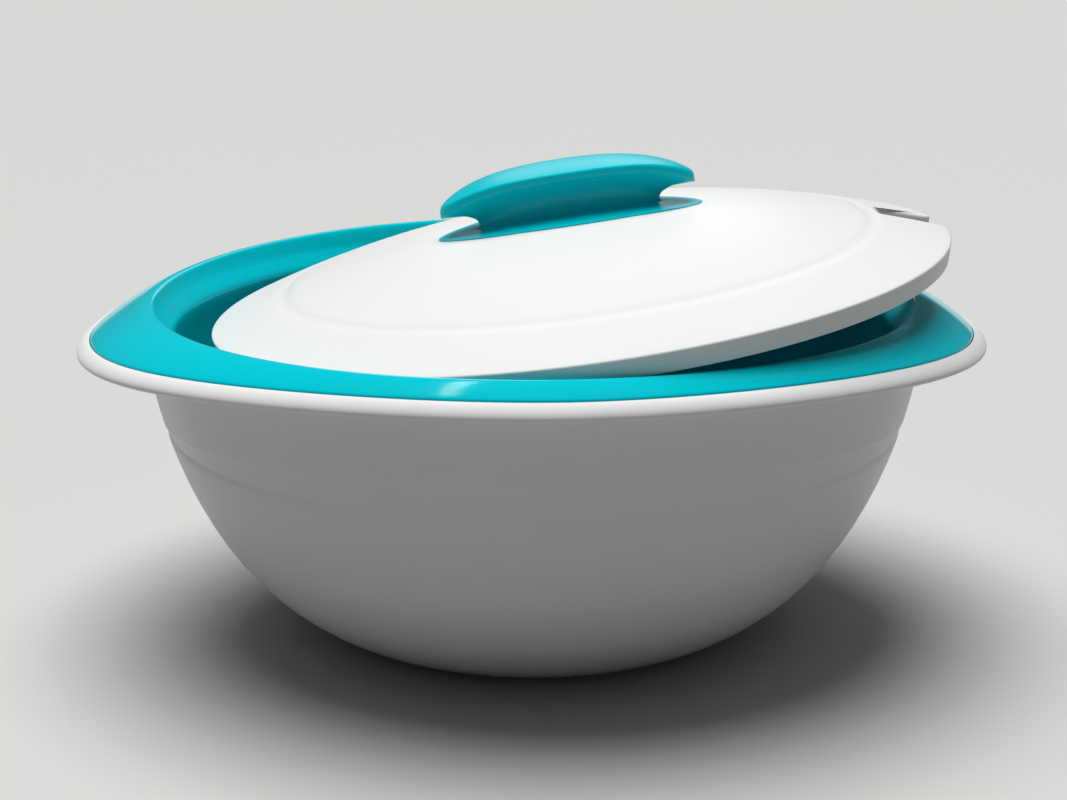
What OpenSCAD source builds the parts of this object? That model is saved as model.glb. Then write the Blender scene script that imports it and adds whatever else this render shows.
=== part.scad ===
// Double-walled serving bowl with a loose domed lid, lying cocked on its seat

/* [Lid] */
// Radius of the lid at its upper edge
lid_radius = 122; // [120:0.5:124]
// Draft of the lid's edge wall
skirt_draft = 1.3; // [1:0.1:2]
// Height of the lid's edge wall
skirt_height = 6.5; // [6:0.1:6.8]
// Rise of the lid's dome over its edge
dome_rise = 21; // [18:0.5:24]
// Wall of the lid's top cover
cover_wall = 2.2; // [1.8:0.1:2.6]
// Distance of the shallow ring groove's outer side from the lid's edge
ring_inset = 24.2; // [22:0.2:30]
// Width of the ring groove's sloping floor
groove_width = 4.4; // [3:0.1:6]
// Depth that the liner's plug reaches below the edge wall
plug_depth = 6; // [4:0.5:7]

/* [Spoon notch] */
// Half of the notch's width
notch_half = 8.5; // [7:0.5:12]
// Depth of the notch from the lid's edge
notch_depth = 20; // [16:0.5:21]
// Radius of the notch's inner corners
notch_corner = 4.5; // [3:0.5:6]
// Radius of the corners where the notch meets the lid's edge
notch_mouth = 2; // [1:0.5:4]

/* [Handle] */
// Length of the grip
grip_length = 84.5; // [78:0.5:92]
// Width of the grip
grip_width = 31.5; // [28:0.5:34]
// Thickness of the grip at its crown
grip_thick = 3.9; // [3.5:0.1:5]
// How far the grip's tips drop below its middle
grip_drop = 9.3; // [8:0.1:11]
// Height of the neck from the top of the dome to the grip
neck_height = 13.4; // [12:0.2:18]
// Length of the flared foot that stands on the lid
foot_length = 88; // [84:1:92]
// Width of the flared foot
foot_breadth = 42; // [36:1:46]
// Distance of each handle screw from the lid's axis
screw_offset = 20; // [18:0.5:22]
// Radius of the screw shanks
screw_radius = 1.7; // [1.5:0.1:1.9]

/* [Inner bowl] */
// Height of the crest between the recess and the flange, at the front and back
crest_height = 114.8; // [112:0.2:118]
// How far the crest drops at the two ends
crest_droop = 2; // [1.8:0.1:3]
// Rounding of the crest on its inner side
crest_round = 2.2; // [1.9:0.1:2.4]
// Clearance round the lid's edge when it is seated
seat_clearance = 0.2; // [0.2:0.1:0.6]
// Width of the seat's slope, from the recess wall to the cavity
seat_ledge = 4.5; // [4:0.1:5.5]
// Depth of the recess from the crest to the seat's slope
seat_depth = 6.5; // [6:0.1:7]
// Fall of the seat's slope to the cavity's upright wall
seat_fall = 6.3; // [6:0.1:7]
// Width of the crest from the recess wall to its highest line
crest_width = 4; // [3.8:0.1:5]
// Height of the cavity's floor
floor_height = 12; // [11:0.5:16]
// Wall of the inner bowl
bowl_wall = 1.8; // [1.6:0.1:2]

/* [Rim] */
// Width of the flange outside the crest at the front and back
side_flange = 7.8; // [7:0.1:12]
// Width of the flange outside the crest at the two ends
end_flange = 19.3; // [16:0.1:24]
// Fall of the flange from the crest to its edge at the front and back
flange_fall = 4; // [3:0.1:5]
// Further fall of the flange's edge towards the two ends
rim_droop = 9.2; // [6:0.2:10]
// Width of the white rolled edge outside the flange
roll_width = 4.5; // [4:0.1:5.5]
// Depth of the white rolled edge
roll_depth = 5.5; // [5:0.1:6.5]

/* [Outer shell] */
// Thickness of the foam between the two upright walls
foam_thick = 7; // [6:0.5:12]
// Wall of the outer shell
shell_wall = 2; // [1.6:0.1:2.4]
// Width of the ridge round the non-slip ring
ridge_width = 3.5; // [3:0.1:4]

/* [Foot and base cap] */
// Radial width of the non-slip ring
foot_width = 8; // [6:0.5:10]
// Space between the non-slip ring and the base cap
cap_space = 2.5; // [1:0.1:4]
// Thickness of the cap's plate
cap_plate = 1.3; // [1:0.1:1.6]
// Width by which the cap's plate laps over the edge of the filling hole
cap_lap = 17; // [8:0.5:20]

/* [Lid at rest] */
// Tilt of the lid, its notched end up
lid_tilt = 7.7; // [7.7:0.1:7.8]
// Direction in which the lid is tilted and shifted
lid_turn = -4.4; // [-10:0.2:10]
// Turn of the lid about its own axis from that direction
lid_spin = 5; // [-20:1:20]
// Shift of the lid's centre towards its raised end
lid_shift = 14.8; // [14.7:0.1:14.9]
// Height of the centre of the lid's edge plane over the crest
lid_lift = 3.5; // [3.5:0.1:3.8]

/* [Hidden] */

white = "#f1f2f1";
turquoise = "#00b9c6";
foam = "#e8dfb8";
grey_rubber = "#b9bcbb";
steel = "#b4b8ba";

// Steps round the axis for the swept surfaces
turns = 72;
// Steps round the handle
handle_turns = 48;
// Smoothness of true circles
$fn = 96;

// Clearance between neighbouring pieces, and the overrun of cuts
gap = 0.3;
over = 1;

// Radii that follow from the lid's edge, outwards from the cavity
seat_radius = lid_radius + seat_clearance;
cavity_radius = seat_radius - seat_ledge;
crest_radius = seat_radius + crest_width;
body_radius = cavity_radius + bowl_wall + foam_thick + shell_wall;
edge_length = 2 * (crest_radius + end_flange);
edge_width = 2 * (crest_radius + side_flange);
rim_length = edge_length + 2 * roll_width;
rim_width = edge_width + 2 * roll_width;

// Heights that follow from the crest
rim_height = crest_height - flange_fall;
seat_height = crest_height - seat_depth;
cavity_top = seat_height - seat_fall;
belly_drop_share = 0.2;
belly_height = rim_height - belly_drop_share * flange_fall;

// Foot, as a share of the body, and what lies inside it
base_share = 0.475;
base_radius = base_share * body_radius;
foot_radius = base_radius - ridge_width;
cap_radius = foot_radius - foot_width - cap_space;
fill_radius = cap_radius - cap_lap;

// Shape of the oval rim and of its droop towards the ends
oval_power = 1.9;
droop_power = 3;
// Shape of the body's side below its belly
side_power = 1.637;
round_power = 0.295;
// Depth below the belly at which the outer side would close on the axis, as a share of its height
body_depth_share = 1.05;
body_depth = body_depth_share * belly_height;
// The same depth for the cavity, whose floor cuts it off flat
cavity_depth = belly_height - floor_height + shell_wall + gap * 3;

// Recess under the shell's floor that takes the foot ring and the cap
foot_proud = 0.5;
base_recess = 2.2;
shell_floor = base_recess + shell_wall;

// Thickness of the gasket between the flange and the shell's shelf
gasket_thick = 0.7;
gasket_slack = 0.1;
gasket_room = gasket_thick + 2 * gasket_slack;
// Shares of the way from the crest to the flange's edge at which the layers under it bend
layer_shares = [0.3, 0.55, 0.8];

// Rounding where the seat's slope meets the cavity's wall
seat_round = 3;
seat_angle = 45;
// Rounding of the flange's outer edge
edge_round = 0.9;
// Crown of the flange between its crest and its edge, as a share of its width
flange_crown_share = 0.05;

// Radius at a bearing of an oval with half axes a and b
function oval_radius(a, b, bearing) =
    pow(pow(abs(cos(bearing)) / a, oval_power) + pow(abs(sin(bearing)) / b, oval_power), -1 / oval_power);
function edge_radius(bearing) = oval_radius(edge_length / 2, edge_width / 2, bearing);
function rim_radius(bearing) = oval_radius(rim_length / 2, rim_width / 2, bearing);
function edge_height(bearing) =
    rim_height - rim_droop * pow(abs(edge_radius(bearing) * cos(bearing)) / (edge_length / 2), droop_power);
function crest_at(bearing) = crest_height - crest_droop * pow(cos(bearing), 2);

// Top of the flange at a share of the way from its crest to its edge
function flange_radius(bearing, way) = crest_radius + (edge_radius(bearing) - crest_radius) * way;
function flange_height(bearing, way) =
    crest_at(bearing) + (edge_height(bearing) - crest_at(bearing)) * way
    + flange_crown_share * (edge_radius(bearing) - crest_radius) * 4 * way * (1 - way);
function flange_way(bearing, radius) = (radius - crest_radius) / (edge_radius(bearing) - crest_radius);

// Points at a depth under the flange, outwards or inwards
function layer(bearing, way, depth) =
    [for (s = way > 0 ? layer_shares : [for (i = [len(layer_shares) - 1:-1:0]) layer_shares[i]])
        [flange_radius(bearing, s), flange_height(bearing, s) - depth]];

// Share of its belly radius that a bowl side has at a height
function side_share(height, depth) =
    pow(1 - pow((belly_height - height) / depth, side_power), round_power);
function body_side(height) = body_radius * side_share(height, body_depth);
function body_inside(height) = (body_radius - shell_wall) * side_share(height, body_depth - shell_wall);
function cavity_side(height) =
    cavity_radius * side_share(height, cavity_depth) / side_share(cavity_top, cavity_depth);
function cavity_outside(height) =
    (cavity_radius + bowl_wall) * side_share(height, cavity_depth + bowl_wall)
    / side_share(cavity_top, cavity_depth + bowl_wall);

// Points of an arc in the radius and height plane
function arc(centre, radius, from, to, steps) =
    [for (i = [0:steps]) let (a = from + (to - from) * i / steps) centre + radius * [cos(a), sin(a)]];

// Rings of points turned to their bearings
function ring(bearing, outline) = [for (p = outline) [p[0] * cos(bearing), p[0] * sin(bearing), p[1]]];
function quad(a, b, c, d) = [[a, b, c], [a, c, d]];

// A closed outline swept once round the axis, as the outline changes with the bearing
module swept_loop(outlines) {
    rows = len(outlines);
    cols = len(outlines[0]);
    polyhedron(
        points = [for (i = [0:rows - 1]) each ring(360 * i / rows, outlines[i])],
        faces = [for (i = [0:rows - 1], j = [0:cols - 1])
            let (k = (i + 1) % rows, m = (j + 1) % cols)
            each quad(i * cols + j, i * cols + m, k * cols + m, k * cols + j)]);
}

// An open outline swept round the axis and closed at an upper and a lower point on it
module swept_bowl(outlines, upper, lower) {
    rows = len(outlines);
    cols = len(outlines[0]);
    last = rows * cols;
    polyhedron(
        points = concat([for (i = [0:rows - 1]) each ring(360 * i / rows, outlines[i])],
            [[0, 0, upper], [0, 0, lower]]),
        faces = concat(
            [for (i = [0:rows - 1], j = [0:cols - 2])
                let (k = (i + 1) % rows)
                each quad(i * cols + j, k * cols + j, k * cols + j + 1, i * cols + j + 1)],
            [for (i = [0:rows - 1]) [last, ((i + 1) % rows) * cols, i * cols]],
            [for (i = [0:rows - 1]) [last + 1, i * cols + cols - 1, ((i + 1) % rows) * cols + cols - 1]]));
}

bearings = [for (i = [0:turns - 1]) 360 * i / turns];

// Heights up the body's side, as shares of the belly's height, lowest first
side_shares = [0.027, 0.06, 0.11, 0.18, 0.28, 0.4, 0.54, 0.68, 0.82];
inside_shares = [0.09, 0.18, 0.3, 0.46, 0.64, 0.82];
// The same for the inner bowl's outside, from the cavity's floor to its upright wall's end
under_shares = [0.05, 0.14, 0.3, 0.52, 0.76];
cavity_rise = cavity_top - floor_height;

// Depth of the flange, the gasket's room and the shell's shelf together
flange_stack = bowl_wall + gasket_room + shell_wall;
shell_fillet = 2;
// Rounding of the rolled edge's lower corner, and the shape of the sloping face above it
roll_round = 1.4;
roll_power = 1.55;
roll_steps = [0, 20, 40, 60, 78, 90];

// Outline of the shell at a bearing, from the filling hole's lower edge outwards and back
function shell_outline(bearing) =
    let (
        er = edge_radius(bearing), ez = edge_height(bearing), rr = rim_radius(bearing),
        under_r = body_radius + shell_fillet,
        under_z = flange_height(bearing, flange_way(bearing, under_r)) - flange_stack,
        inner_r = body_radius - shell_wall + gap,
        shelf_z = flange_height(bearing, flange_way(bearing, inner_r)) - bowl_wall - gasket_room,
        roll_low = ez - roll_depth, face_r = er + gap, face_z = ez - edge_round / 2)
    concat(
        [[fill_radius, base_recess], [foot_radius + gap, base_recess],
         [foot_radius + gap, foot_proud], [base_radius, foot_proud]],
        [for (s = side_shares) [body_side(s * belly_height), s * belly_height]],
        [[body_side(under_z - shell_fillet), under_z - shell_fillet], [under_r, under_z],
         [(under_r + er) / 2, (under_z + roll_low) / 2],
         [er, roll_low]],
        arc([rr - roll_round, roll_low + roll_round], roll_round, -75, -15, 3),
        [for (a = roll_steps)
            [face_r + (rr - face_r) * pow(cos(a), 2 / roll_power),
             roll_low + roll_round + (face_z - roll_low - roll_round) * pow(sin(a), 2 / roll_power)]],
        [[face_r, ez - bowl_wall - gasket_room]],
        layer(bearing, -1, bowl_wall + gasket_room),
        [[inner_r, shelf_z]],
        [for (i = [len(inside_shares) - 1:-1:0])
            [body_inside(inside_shares[i] * belly_height), inside_shares[i] * belly_height]],
        [[body_inside(shell_floor), shell_floor], [fill_radius, shell_floor]]);

module outer_shell() {
    color(white)
    swept_loop([for (b = bearings) shell_outline(b)]);
}

// Plate and spigot that close the filling hole from below
module base_cap() {
    spigot = fill_radius - gap;
    color(white)
    translate([0, 0, base_recess])
    rotate_extrude()
    polygon([
        [0, -cap_plate], [cap_radius - cap_plate / 2, -cap_plate], [cap_radius, -cap_plate / 2],
        [cap_radius, 0], [spigot, 0], [spigot, shell_wall + over],
        [spigot - shell_wall, shell_wall + over], [spigot - shell_wall, 0], [0, 0]]);
}

// Soft ring pressed under the shell's floor, the only part that touches the table
module foot_ring() {
    lip = foot_width / 8;
    color(grey_rubber)
    rotate_extrude()
    polygon([
        [foot_radius - foot_width + lip, 0], [foot_radius - lip, 0], [foot_radius, foot_proud],
        [foot_radius, base_recess], [foot_radius - foot_width, base_recess],
        [foot_radius - foot_width, foot_proud]]);
}

foam_gap = gap + gap / 3;
// Top of the foam, just under the slope of the lid's seat
foam_top = cavity_top - bowl_wall;

// Filling between the two walls, kept clear of both
module bowl_insulation() {
    low = shell_floor + foam_gap;
    floor_under = floor_height - bowl_wall - foam_gap;
    start = body_inside(low) - 3 * foam_gap;
    plug_top = shell_floor + over + gap;
    color(foam)
    rotate_extrude()
    polygon([
        [0, plug_top], [fill_radius + gap, plug_top], [fill_radius + gap, low], [start, low],
        for (s = inside_shares) [body_inside(s * belly_height) - 2 * foam_gap, s * belly_height],
        [body_inside(foam_top) - 3 * foam_gap, foam_top], [cavity_outside(foam_top) + 2 * foam_gap, foam_top],
        for (i = [len(under_shares) - 1:-1:0])
            let (h = floor_height + under_shares[i] * cavity_rise) [cavity_outside(h) + foam_gap, h],
        [cavity_outside(floor_height) + foam_gap, floor_under], [0, floor_under]]);
}

// Flat ring under the flange that keeps wash water out of the foam
function gasket_outline(bearing) = concat(
    layer(bearing, 1, bowl_wall + gasket_room - gasket_slack),
    layer(bearing, -1, bowl_wall + gasket_slack));

module rim_gasket() {
    color(grey_rubber)
    swept_loop([for (b = bearings) gasket_outline(b)]);
}

// Heights up the cavity, as shares of the way from its floor to its upright wall's end
cavity_shares = [0.03, 0.09, 0.18, 0.3, 0.45, 0.63, 0.82];
flange_shares = [0.3, 0.6, 0.85];

// Outline of the inner bowl at a bearing, from the cavity's floor out to the flange and back below
function bowl_outline(bearing) =
    let (
        cz = crest_at(bearing), er = edge_radius(bearing), ez = edge_height(bearing),
        wall_foot = [seat_radius + bowl_wall / 3, seat_height + bowl_wall])
    concat(
        [[cavity_side(floor_height + cavity_shares[0] * cavity_rise) * 0.75, floor_height]],
        [for (s = cavity_shares)
            let (h = floor_height + s * cavity_rise) [cavity_side(h), h]],
        arc([cavity_radius + seat_round, cavity_top], seat_round, 180, 180 - seat_angle, 3),
        [[seat_radius, seat_height], wall_foot],
        arc([crest_radius, cz - crest_round], crest_round, 180, 90, 4),
        [for (w = flange_shares) [flange_radius(bearing, w), flange_height(bearing, w)]],
        arc([er - edge_round, ez - edge_round], edge_round, 90, 0, 3),
        [[er, ez - bowl_wall],
         each layer(bearing, -1, bowl_wall),
         [crest_radius + bowl_wall / 2, cz - bowl_wall],
         [crest_radius - bowl_wall / 6, cz - bowl_wall - crest_round],
         [wall_foot[0] + bowl_wall, wall_foot[1] - bowl_wall / 3],
         [seat_radius + bowl_wall * 0.7, seat_height - bowl_wall * 0.8],
         [cavity_radius + bowl_wall + seat_round / 3, cavity_top + seat_round / 3]],
        [for (i = [len(under_shares) - 1:-1:0])
            let (h = floor_height + under_shares[i] * cavity_rise) [cavity_outside(h), h]],
        [[cavity_outside(floor_height), floor_height - bowl_wall / 2],
         [cavity_outside(floor_height) * 0.8, floor_height - bowl_wall]]);

module inner_bowl() {
    color(turquoise)
    swept_bowl([for (b = bearings) bowl_outline(b)], floor_height, floor_height - bowl_wall);
}

// Puts a piece drawn about the centre of the lid's edge plane where the loose lid lies
module on_lid() {
    rotate([0, 0, lid_turn])
    translate([lid_shift, 0, crest_height + lid_lift])
    rotate([0, -lid_tilt, 0])
    rotate([0, 0, lid_spin])
    children();
}

// Radius of the sphere of which a dome is the cap
function dome_radius(radius, rise) = (radius * radius + rise * rise) / (2 * rise);
function dome_height(x) =
    let (r = dome_radius(lid_radius, dome_rise)) sqrt(r * r - x * x) - r + dome_rise;

// Cuts a section drawn beside the axis down to a dome over a base of the given radius
module domed(radius, rise) {
    r = dome_radius(radius, rise);
    intersection() {
        translate([0, rise - r]) circle(r = r, $fn = 360);
        children();
    }
}

edge_bevel = 0.5;
skirt_radius = lid_radius - skirt_draft;
ring_radius = lid_radius - ring_inset;
notch_reach = lid_radius - notch_depth;

groove_depth = 0.4;
groove_step = 0.4;

// Ends of the groove's sloping floor, which leaves the dome gently and meets a low wall
groove_start = [ring_radius - groove_width, dome_height(ring_radius - groove_width)];
groove_bottom = [ring_radius - groove_step, dome_height(ring_radius) - groove_depth];

// Full section of the closed lid, with the shallow ring groove
module lid_section() {
    side = lid_radius - edge_bevel;
    difference() {
        domed(side, dome_rise)
            polygon([
                [0, dome_rise + over], [side, dome_rise + over], [side, 0], [lid_radius, -edge_bevel],
                [skirt_radius, edge_bevel / 2 - skirt_height],
                [skirt_radius - edge_bevel / 2, -skirt_height], [0, -skirt_height]]);
        polygon([
            2 * groove_start - groove_bottom, groove_bottom,
            [ring_radius + groove_step, dome_height(ring_radius) + groove_depth]]);
    }
}

skirt_inner = skirt_radius - edge_bevel / 2 - cover_wall;

// Hollow inside the cover
module cover_hollow() {
    domed(skirt_inner, dome_rise - cover_wall)
        polygon([
            [0, dome_rise], [skirt_inner, dome_rise],
            [skirt_inner, -skirt_height - over], [0, -skirt_height - over]]);
}

// Plan of the notch, grown by a wall, drawn along +X
module notch_plan(grow) {
    half = notch_half + grow;
    from = notch_reach - grow;
    round = notch_corner + grow;
    far = lid_radius + over;
    translate([from + round, -half]) square([far - from - round, 2 * half]);
    translate([from, round - half]) square([2 * round, 2 * (half - round)]);
    for (side = [-1, 1]) translate([from + round, side * (half - round)]) circle(r = round);
}

// The rounded corners where the notch opens through the lid's edge
module notch_mouths() {
    across = notch_half + notch_mouth;
    along = sqrt(pow(lid_radius - notch_mouth, 2) - across * across);
    lean = lid_radius / (lid_radius - notch_mouth);
    for (side = [0, 1])
        mirror([0, side])
        difference() {
            polygon([
                [along, notch_half - over / 4], [lid_radius + over, notch_half - over / 4],
                [lid_radius + over, across * lean], [along * lean, across * lean], [along, across]]);
            translate([along, across]) circle(r = notch_mouth);
        }
}

// Plan of the solid walls that line the notch, with a post at each corner of its mouth
module notch_walls(grow) {
    post = notch_mouth + cover_wall + grow;
    notch_plan(cover_wall + grow);
    translate([lid_radius - 2 * post, -notch_half - post]) square([2 * post + over, 2 * (notch_half + post)]);
}

module notch_prism() {
    translate([0, 0, -skirt_height - plug_depth - over])
    linear_extrude(height = skirt_height + plug_depth + dome_rise + 2 * over)
    children();
}

pad_radius = 6;
pad_drop = 2;
head_radius = 3.5;
head_height = 2.2;

// Height of the cover's inner face and of the flat pads under it at the screws
inside_rise = dome_rise - cover_wall;
function inside_height(x) =
    let (r = dome_radius(skirt_inner, inside_rise)) sqrt(r * r - x * x) - r + inside_rise;
pad_height = inside_height(screw_offset + pad_radius) - pad_drop;

module at_screws() {
    for (side = [-1, 1]) translate([side * screw_offset, 0, 0]) children();
}

module lid_cover() {
    color(white)
    on_lid()
    difference() {
        rotate_extrude() lid_section();
        difference() {
            rotate_extrude() cover_hollow();
            notch_prism() notch_walls(0);
            at_screws() translate([0, 0, pad_height]) cylinder(r = pad_radius, h = dome_rise);
        }
        notch_prism() notch_plan(0);
        notch_prism() notch_mouths();
        at_screws() translate([0, 0, pad_height - over]) cylinder(r = screw_radius + gap, h = dome_rise);
    }
}

liner_wall = 1.8;
// Radius of the liner's plug, clear of the walls round the notch
plug_space = 2.5;
plug_radius = notch_reach - cover_wall - gap - plug_space;
// Radius and height of the liner's brim, which sits inside the cover's skirt
brim_radius = skirt_inner - gap;
brim_under = gap - skirt_height;
brim_top = brim_under + liner_wall;
plug_floor = -skirt_height - plug_depth;
plug_bevel = plug_depth / 2;

module lid_liner() {
    color(white)
    on_lid()
    difference() {
        rotate_extrude()
        polygon([
            [0, plug_floor], [plug_radius - plug_bevel, plug_floor], [plug_radius, plug_floor + plug_bevel],
            [plug_radius, brim_under], [brim_radius, brim_under], [brim_radius, brim_top],
            [plug_radius - liner_wall, brim_top], [plug_radius - liner_wall, plug_floor + plug_bevel],
            [plug_radius - plug_bevel - liner_wall / 2, plug_floor + liner_wall], [0, plug_floor + liner_wall]]);
        notch_prism() notch_walls(gap);
    }
}

module lid_insulation() {
    low = plug_floor + liner_wall + foam_gap;
    inner = plug_radius - liner_wall - foam_gap;
    side = skirt_inner - 2 * foam_gap;
    color(foam)
    on_lid()
    difference() {
        rotate_extrude()
        domed(side, inside_rise - foam_gap)
            polygon([
                [0, low], [inner - plug_bevel, low], [inner, low + plug_bevel],
                [inner, brim_top + foam_gap], [side, brim_top + foam_gap],
                [side, dome_rise], [0, dome_rise]]);
        notch_prism() notch_walls(gap);
        at_screws()
            translate([0, 0, pad_height - head_height - 2 * foam_gap])
            cylinder(r = pad_radius + foam_gap, h = dome_rise);
    }
}

grip_under = dome_rise + neck_height;
grip_top = grip_under + grip_thick;

// Surfaces that the handle stands on and joins
function lens_share(bearing, power) =
    pow(pow(abs(cos(bearing)), power) + pow(abs(sin(bearing)), power), -1 / power);
// Share of the grip's drop that falls evenly along its length; the rest falls towards its tips
even_share = 0.43;
function fall(x) =
    let (u = 2 * x / grip_length) grip_drop * (even_share * pow(u, 2) + (1 - even_share) * pow(u, 4));
function grip_low(x) = grip_under - fall(x);
function on_dome(x, y) =
    let (r = dome_radius(lid_radius, dome_rise)) sqrt(r * r - x * x - y * y) - r + dome_rise;

// Rings of a solid stacked from a point below to a point above
module stacked(rings, lower, upper) {
    rows = len(rings);
    cols = len(rings[0]);
    last = rows * cols;
    polyhedron(
        points = concat([for (r = rings) each r], [lower, upper]),
        faces = concat(
            [for (i = [0:rows - 2], j = [0:cols - 1])
                let (m = (j + 1) % cols)
                each quad(i * cols + j, (i + 1) * cols + j, (i + 1) * cols + m, i * cols + m)],
            [for (j = [0:cols - 1]) [last, j, (j + 1) % cols]],
            [for (j = [0:cols - 1]) [last + 1, (rows - 1) * cols + (j + 1) % cols, (rows - 1) * cols + j]]));
}

// Rows of height share, length share, width share and lens power up the waisted neck
neck_shares = [
    [0, 1, 1, 1.8], [0.03, 0.93, 0.84, 1.8], [0.07, 0.78, 0.6, 1.8], [0.13, 0.71, 0.48, 1.85],
    [0.24, 0.69, 0.42, 1.9], [0.4, 0.686, 0.396, 1.95], [0.56, 0.695, 0.405, 2], [0.72, 0.718, 0.45, 2],
    [0.85, 0.752, 0.52, 2], [0.93, 0.785, 0.6, 2], [0.972, 0.86, 0.68, 1.95], [1, 0.955, 0.745, 1.94]
];
neck_seat = gap / 3;

// A point on a row at a bearing, and the height to which the flare climbs there
function neck_spot(row, a, inset) =
    let (s = lens_share(a, row[3]) * inset)
    [cos(a) * s * row[1] * foot_length / 2, sin(a) * s * row[2] * foot_breadth / 2];
function neck_ring(row, inset) = [for (j = [0:handle_turns - 1])
    let (
        a = 360 * j / handle_turns, p = neck_spot(row, a, inset),
        low = on_dome(p[0], p[1]) + neck_seat,
        high = grip_low(neck_spot(neck_shares[len(neck_shares) - 1], a, 1)[0]) + neck_seat)
    [p[0], p[1], low + (high - low) * row[0]]];

// Everything under the arch of the grip's underside, let down by a clearance
module under_arch(clear) {
    reach = foot_length / 2 + over;
    steps = handle_turns;
    rotate([90, 0, 0])
    linear_extrude(height = 2 * foot_breadth, center = true)
    polygon([
        for (i = [0:steps]) let (x = reach * (2 * i / steps - 1)) [x, grip_low(x) - clear],
        [reach, 0], [-reach, 0]]);
}

ring_insets_share = [0.35, 0.7];
peg_radius = 2.2;
peg_offset = 8;
peg_length = 7;

module handle_neck() {
    rings = concat(
        [for (s = ring_insets_share) neck_ring(neck_shares[0], s)],
        [for (r = neck_shares) neck_ring(r, 1)]);
    color(turquoise)
    on_lid()
    difference() {
        intersection() {
            stacked(rings, [0, 0, dome_rise + neck_seat], [0, 0, grip_under + 2 * over]);
            under_arch(neck_seat);
        }
        at_screws()
            translate([0, 0, dome_rise - over])
            mirror([0, 0, 1])
            translate([0, 0, -screw_length])
            cylinder(r = screw_radius + neck_seat, h = screw_length + 2 * over);
        for (side = [-1, 1])
            translate([side * peg_offset, 0, grip_under - peg_length - gap])
            cylinder(r = peg_radius + neck_seat, h = peg_length + gap + over);
    }
}

screw_length = 10;

// Two pan-head screws driven up through the cover into the neck
module handle_screws() {
    shank = dome_rise - over + screw_length - gap - pad_height;
    color(steel)
    on_lid()
    at_screws()
    translate([0, 0, pad_height]) {
        cylinder(r = screw_radius, h = shank);
        difference() {
            translate([0, 0, -head_height]) cylinder(r = head_radius, h = head_height);
            for (turn = [0, 90])
                rotate([0, 0, turn])
                translate([-head_radius / 2, -head_radius / 8, -head_height - over])
                cube([head_radius, head_radius / 4, over + head_height / 2]);
        }
    }
}

grip_round = 0.7;
grip_crown = 1.5;
// Rows of plan share, and share of the way up the edge band, from the underside to the crown
band_shares = [[0.985, 0], [1, 0.22], [1, 0.75], [0.975, 0.97]];
crown_shares = [0.9, 0.7, 0.4];
grip_power = 1.94;

function grip_high(x, y) =
    grip_top - fall(x) - grip_crown * pow(2 * y / grip_width, 2);
function grip_spot(bearing, share) =
    let (s = lens_share(bearing, grip_power) * share)
    [cos(bearing) * s * grip_length / 2, sin(bearing) * s * grip_width / 2];

module handle_grip() {
    bearings_round = [for (j = [0:handle_turns - 1]) 360 * j / handle_turns];
    under = [for (s = [0.4, 0.75]) [for (a = bearings_round)
        let (p = grip_spot(a, s)) [p[0], p[1], grip_low(p[0]) - over / 2]]];
    band = [for (b = band_shares) [for (a = bearings_round)
        let (p = grip_spot(a, b[0]), low = grip_low(p[0]) - over / 2, high = grip_high(p[0], p[1]))
        [p[0], p[1], low + (high - low) * b[1]]]];
    crown = [for (s = crown_shares) [for (a = bearings_round)
        let (p = grip_spot(a, s)) [p[0], p[1], grip_high(p[0], p[1])]]];
    color(turquoise)
    on_lid()
    union() {
        difference() {
            stacked(concat(under, band, crown), [0, 0, grip_under - over / 2], [0, 0, grip_top]);
            under_arch(0);
        }
        for (side = [-1, 1])
            translate([side * peg_offset, 0, grip_under - peg_length])
            cylinder(r = peg_radius, h = peg_length + over);
    }
}

outer_shell();
base_cap();
foot_ring();
bowl_insulation();
rim_gasket();
inner_bowl();
lid_cover();
lid_insulation();
lid_liner();
handle_neck();
handle_screws();
handle_grip();
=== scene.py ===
import math

import bmesh
import bpy
from mathutils import Matrix, Vector


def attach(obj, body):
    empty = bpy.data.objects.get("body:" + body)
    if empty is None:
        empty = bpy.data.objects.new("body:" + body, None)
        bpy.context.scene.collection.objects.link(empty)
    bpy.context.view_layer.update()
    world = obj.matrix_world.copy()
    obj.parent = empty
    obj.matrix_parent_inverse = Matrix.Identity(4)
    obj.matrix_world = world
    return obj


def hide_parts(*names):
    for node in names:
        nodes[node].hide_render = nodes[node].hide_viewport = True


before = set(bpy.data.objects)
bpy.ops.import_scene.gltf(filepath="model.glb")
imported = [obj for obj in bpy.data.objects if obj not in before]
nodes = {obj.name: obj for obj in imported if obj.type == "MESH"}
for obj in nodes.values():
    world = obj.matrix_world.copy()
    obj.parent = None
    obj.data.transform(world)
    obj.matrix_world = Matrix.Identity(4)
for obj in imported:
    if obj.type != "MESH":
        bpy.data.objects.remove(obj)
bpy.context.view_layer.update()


# Outer body. The white shell that the hand carries: a deep round side that turns out under the
# flange and ends in a rolled oval edge, which droops towards its two ends like a saddle. One
# injection moulding in polypropylene, with two shallow witness lines where the draft changes.

# Sizes are in millimetres, over a table at height 0
MM = 0.001
TURNS = 256

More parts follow.
